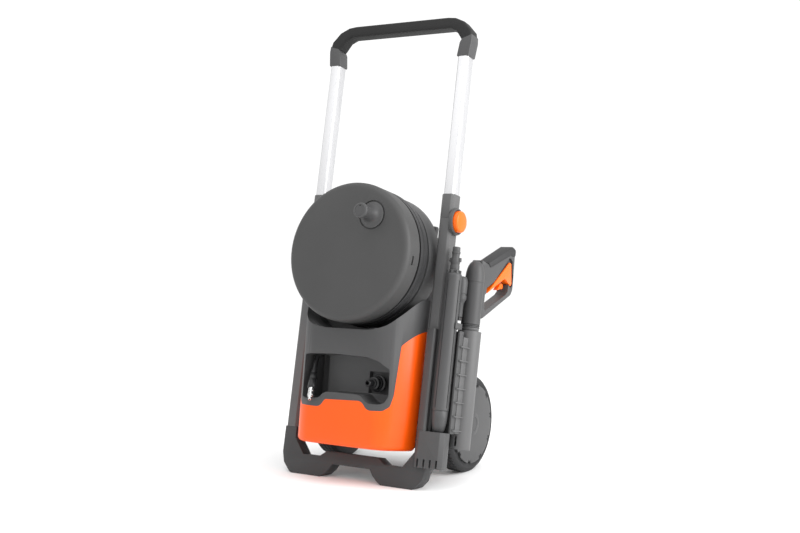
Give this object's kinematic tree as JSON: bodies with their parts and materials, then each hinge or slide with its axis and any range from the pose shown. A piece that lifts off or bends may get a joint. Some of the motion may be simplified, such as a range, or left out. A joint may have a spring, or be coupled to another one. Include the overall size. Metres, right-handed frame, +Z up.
{
  "type": "pressure washer",
  "caption": "Upright electric pressure washer on two wheels, with a front hose reel, a sliding aluminium handle, a storage tray, and a spray gun and lance held at the right side.",
  "frame": {"origin": "on the floor, at the bottom centre of the bounding box", "axes": "+Z up, -Y to the front (reel and tray side), +X to the gun and lance side"},
  "size_m": [0.4194, 0.3742, 0.954],
  "materials": {
    "dark_grey_plastic": "satin",
    "orange_plastic": "gloss",
    "black_plastic": "matte",
    "soft_grip": "matte",
    "aluminium_tube": "satin",
    "steel": "satin",
    "tyre_rubber": "matte",
    "bright_metal": "gloss",
    "cast_aluminium": "rough",
    "hose_rubber": "matte"
  },
  "bodies": {
    "chassis": {"axle": "steel", "base_deck": "dark_grey_plastic", "cable_gland": "black_plastic", "casing_screws": "steel", "foot_frame": "dark_grey_plastic", "front_cover": "dark_grey_plastic", "front_shell": "orange_plastic", "gun_holster": "dark_grey_plastic", "hose_connector": "bright_metal", "hose_swivel": "cast_aluminium", "hose_tail": "hose_rubber", "inlet_collar": "black_plastic", "inlet_connector": "black_plastic", "inlet_pipe": "hose_rubber", "lance_holder": "dark_grey_plastic", "left_lock_ring": "dark_grey_plastic", "left_post": "dark_grey_plastic", "left_post_sleeve": "dark_grey_plastic", "motor": "steel", "motor_fan": "black_plastic", "outlet_pipe": "steel", "pump_head": "cast_aluminium", "pump_manifold": "cast_aluminium", "rear_cover": "dark_grey_plastic", "reel_bracket": "dark_grey_plastic", "reel_spindle": "steel", "right_lock_ring": "dark_grey_plastic", "right_post": "dark_grey_plastic", "right_post_sleeve": "dark_grey_plastic", "switch_box": "black_plastic", "tool_clip": "dark_grey_plastic", "unloader_valve": "cast_aluminium"},
    "handle": {"left_handle_tube": "aluminium_tube", "right_handle_tube": "aluminium_tube", "left_grip_leg": "dark_grey_plastic", "right_grip_leg": "dark_grey_plastic", "grip_bar": "soft_grip"},
    "left_lock": {"left_lock_button": "orange_plastic"},
    "right_lock": {"right_lock_button": "orange_plastic"},
    "reel": {"reel_drum": "dark_grey_plastic", "reel_cap": "dark_grey_plastic", "wound_hose": "hose_rubber"},
    "crank": {"crank_knob": "dark_grey_plastic"},
    "left_wheel": {"left_tyre": "tyre_rubber", "left_rim": "dark_grey_plastic", "left_hub_cap": "dark_grey_plastic"},
    "right_wheel": {"right_tyre": "tyre_rubber", "right_rim": "dark_grey_plastic", "right_hub_cap": "dark_grey_plastic"},
    "gun": {"gun_barrel": "dark_grey_plastic", "gun_collar": "dark_grey_plastic", "gun_body": "dark_grey_plastic", "gun_grip_pad": "soft_grip"},
    "gun_trigger": {"trigger": "orange_plastic"},
    "gun_catch": {"trigger_catch": "orange_plastic"},
    "lance": {"lance_tube": "dark_grey_plastic", "lance_nozzle": "dark_grey_plastic", "lance_spigot": "dark_grey_plastic"},
    "spare_nozzle": {"spray_nozzle": "dark_grey_plastic"},
    "switch": {"power_switch": "black_plastic"}
  },
  "joints": [
    {"name": "handle_slide", "type": "slide", "parent": "chassis", "child": "handle", "axis": [0, 0.2079, 0.9781], "range_m": [-0.28, 0]},
    {"name": "left_lock_press", "type": "slide", "parent": "chassis", "child": "left_lock", "axis": [1, 0, 0], "range_m": [0, 0.004], "stiffness_N_per_m": 900},
    {"name": "right_lock_press", "type": "slide", "parent": "chassis", "child": "right_lock", "axis": [-1, 0, 0], "range_m": [0, 0.004], "stiffness_N_per_m": 900},
    {"name": "reel_wind", "type": "hinge", "parent": "chassis", "child": "reel", "pos_m": [-0.0188, -0.06386, 0.44924], "axis": [0, -0.9781, 0.2079], "continuous": true},
    {"name": "crank_spin", "type": "hinge", "parent": "reel", "child": "crank", "pos_m": [0.0322, -0.1284, 0.53759], "axis": [0, -0.9781, 0.2079], "continuous": true},
    {"name": "left_wheel_roll", "type": "hinge", "parent": "chassis", "child": "left_wheel", "pos_m": [-0.1478, 0.0683, 0.1], "axis": [1, 0, 0], "continuous": true},
    {"name": "right_wheel_roll", "type": "hinge", "parent": "chassis", "child": "right_wheel", "pos_m": [0.1102, 0.0683, 0.1], "axis": [1, 0, 0], "continuous": true},
    {"name": "gun_lift", "type": "slide", "parent": "chassis", "child": "gun", "axis": [0, 0.2079, 0.9781], "range_m": [0, 0.23]},
    {"name": "trigger_pull", "type": "hinge", "parent": "gun", "child": "gun_trigger", "pos_m": [0.1857, 0.05119, 0.38062], "axis": [1, 0, 0], "range_deg": [0, 4], "stiffness_Nm_per_rad": 2},
    {"name": "catch_flip", "type": "hinge", "parent": "gun", "child": "gun_catch", "pos_m": [0.1857, 0.13108, 0.38613], "axis": [1, 0, 0], "range_deg": [-25, 0]},
    {"name": "lance_pull", "type": "slide", "parent": "chassis", "child": "lance", "axis": [0, -0.9781, 0.2079], "range_m": [0, 0.09]},
    {"name": "nozzle_lift", "type": "slide", "parent": "chassis", "child": "spare_nozzle", "axis": [0, 0.2079, 0.9781], "range_m": [0, 0.05]},
    {"name": "switch_turn", "type": "hinge", "parent": "chassis", "child": "switch", "pos_m": [-0.0188, 0.0433, 0.245], "axis": [0, 1, 0], "range_deg": [0, 90]}
  ]
}
